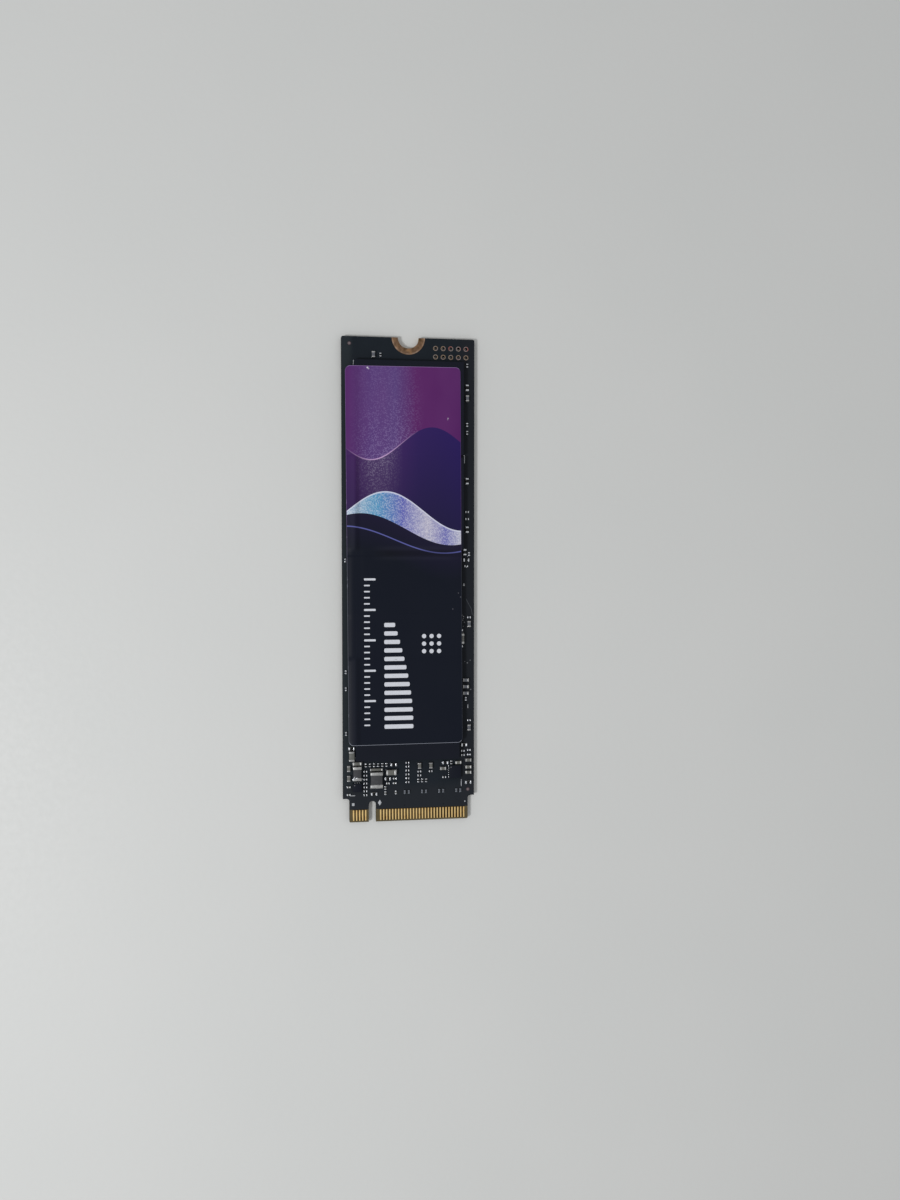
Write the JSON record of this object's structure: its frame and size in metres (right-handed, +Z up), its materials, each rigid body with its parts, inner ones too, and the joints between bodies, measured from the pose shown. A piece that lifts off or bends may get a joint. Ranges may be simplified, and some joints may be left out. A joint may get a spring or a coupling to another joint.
{
  "type": "m.2 solid-state drive",
  "caption": "Flat bare memory card: black circuit board, flat chips under a dark violet label, gold edge contacts with a key notch at one end and a half-round screw seat at the other.",
  "frame": {"origin": "under the middle of the card, on the surface that it lies on", "axes": "+X across the card to its right seen from the label side, +Y along the card from the edge contacts towards the screw seat, +Z up out of the label"},
  "size_m": [0.022, 0.08, 0.0022],
  "materials": {
    "board_mask": "matte black solder mask on laminate",
    "gold_plate": "satin gold plate",
    "bare_copper": "dull copper",
    "chip_mould": "fine matte mould compound",
    "solder": "bright solder",
    "label_film": "satin printed film",
    "back_film": "plain satin film",
    "capacitor_ceramic": "unglazed tan ceramic with tinned ends",
    "resistor_ceramic": "black glaze over ceramic with tinned ends",
    "inductor_ferrite": "dark grey ferrite with tinned ends"
  },
  "bodies": {
    "root": {"circuit_board": "board_mask", "front_contacts": "gold_plate", "back_contacts": "gold_plate", "screw_seat": "gold_plate", "header_pads": "gold_plate", "alignment_dots": "bare_copper", "memory_chip_upper": "chip_mould", "memory_chip_lower": "chip_mould", "cache_chip": "chip_mould", "controller_chip": "chip_mould", "regulator_chip": "chip_mould", "power_switch_chip": "chip_mould", "memory_chip_upper_balls": "solder", "memory_chip_lower_balls": "solder", "cache_chip_balls": "solder", "controller_chip_balls": "solder", "front_label": "label_film", "back_label": "back_film", "bulk_capacitors": "capacitor_ceramic", "slim_capacitor": "capacitor_ceramic", "long_capacitor": "capacitor_ceramic", "supply_capacitors": "capacitor_ceramic", "edge_capacitors": "capacitor_ceramic", "filter_capacitors": "capacitor_ceramic", "coupling_capacitors": "capacitor_ceramic", "bypass_capacitors": "capacitor_ceramic", "sense_resistors": "resistor_ceramic", "feedback_resistors": "resistor_ceramic", "strap_resistors": "resistor_ceramic", "termination_resistors": "resistor_ceramic", "edge_resistors": "resistor_ceramic", "pull_resistors": "resistor_ceramic", "small_inductor": "inductor_ferrite", "large_inductor": "inductor_ferrite"}
  },
  "joints": []
}
